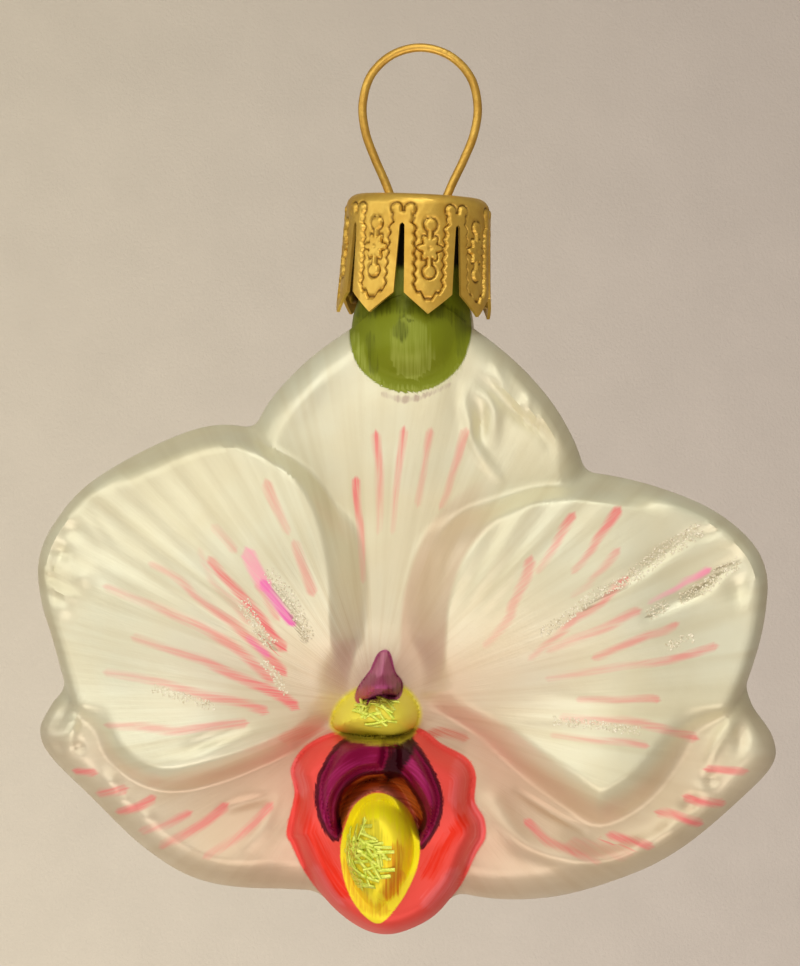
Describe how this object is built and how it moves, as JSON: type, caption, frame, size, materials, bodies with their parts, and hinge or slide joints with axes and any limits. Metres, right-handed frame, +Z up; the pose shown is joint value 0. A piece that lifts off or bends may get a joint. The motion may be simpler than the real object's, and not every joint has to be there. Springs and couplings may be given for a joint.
{
  "type": "moth-orchid blown-glass hanging ornament",
  "caption": "Hollow blown-glass tree ornament shaped like a moth-orchid bloom, with a stamped metal crown cap and a sprung wire hanging loop.",
  "frame": {"origin": "the point that the ornament hangs from: the inside of the top of the wire loop", "axes": "+Z up, the bloom faces -Y, +X to the right of a viewer who faces the bloom"},
  "size_m": [0.064, 0.0233, 0.0774],
  "materials": {
    "painted_glass": "opaque pearl lacquer with hand-painted strokes",
    "cap_metal": "stamped, satin gold",
    "wire": "drawn, gold",
    "tinsel": "glossy cut film",
    "glitter": "strewn silver grains"
  },
  "bodies": {
    "root": {"glass_flower": "painted_glass", "cap": "cap_metal", "hanger_wire": "wire", "column_tinsel": "tinsel", "lip_tinsel": "tinsel"}
  },
  "joints": []
}
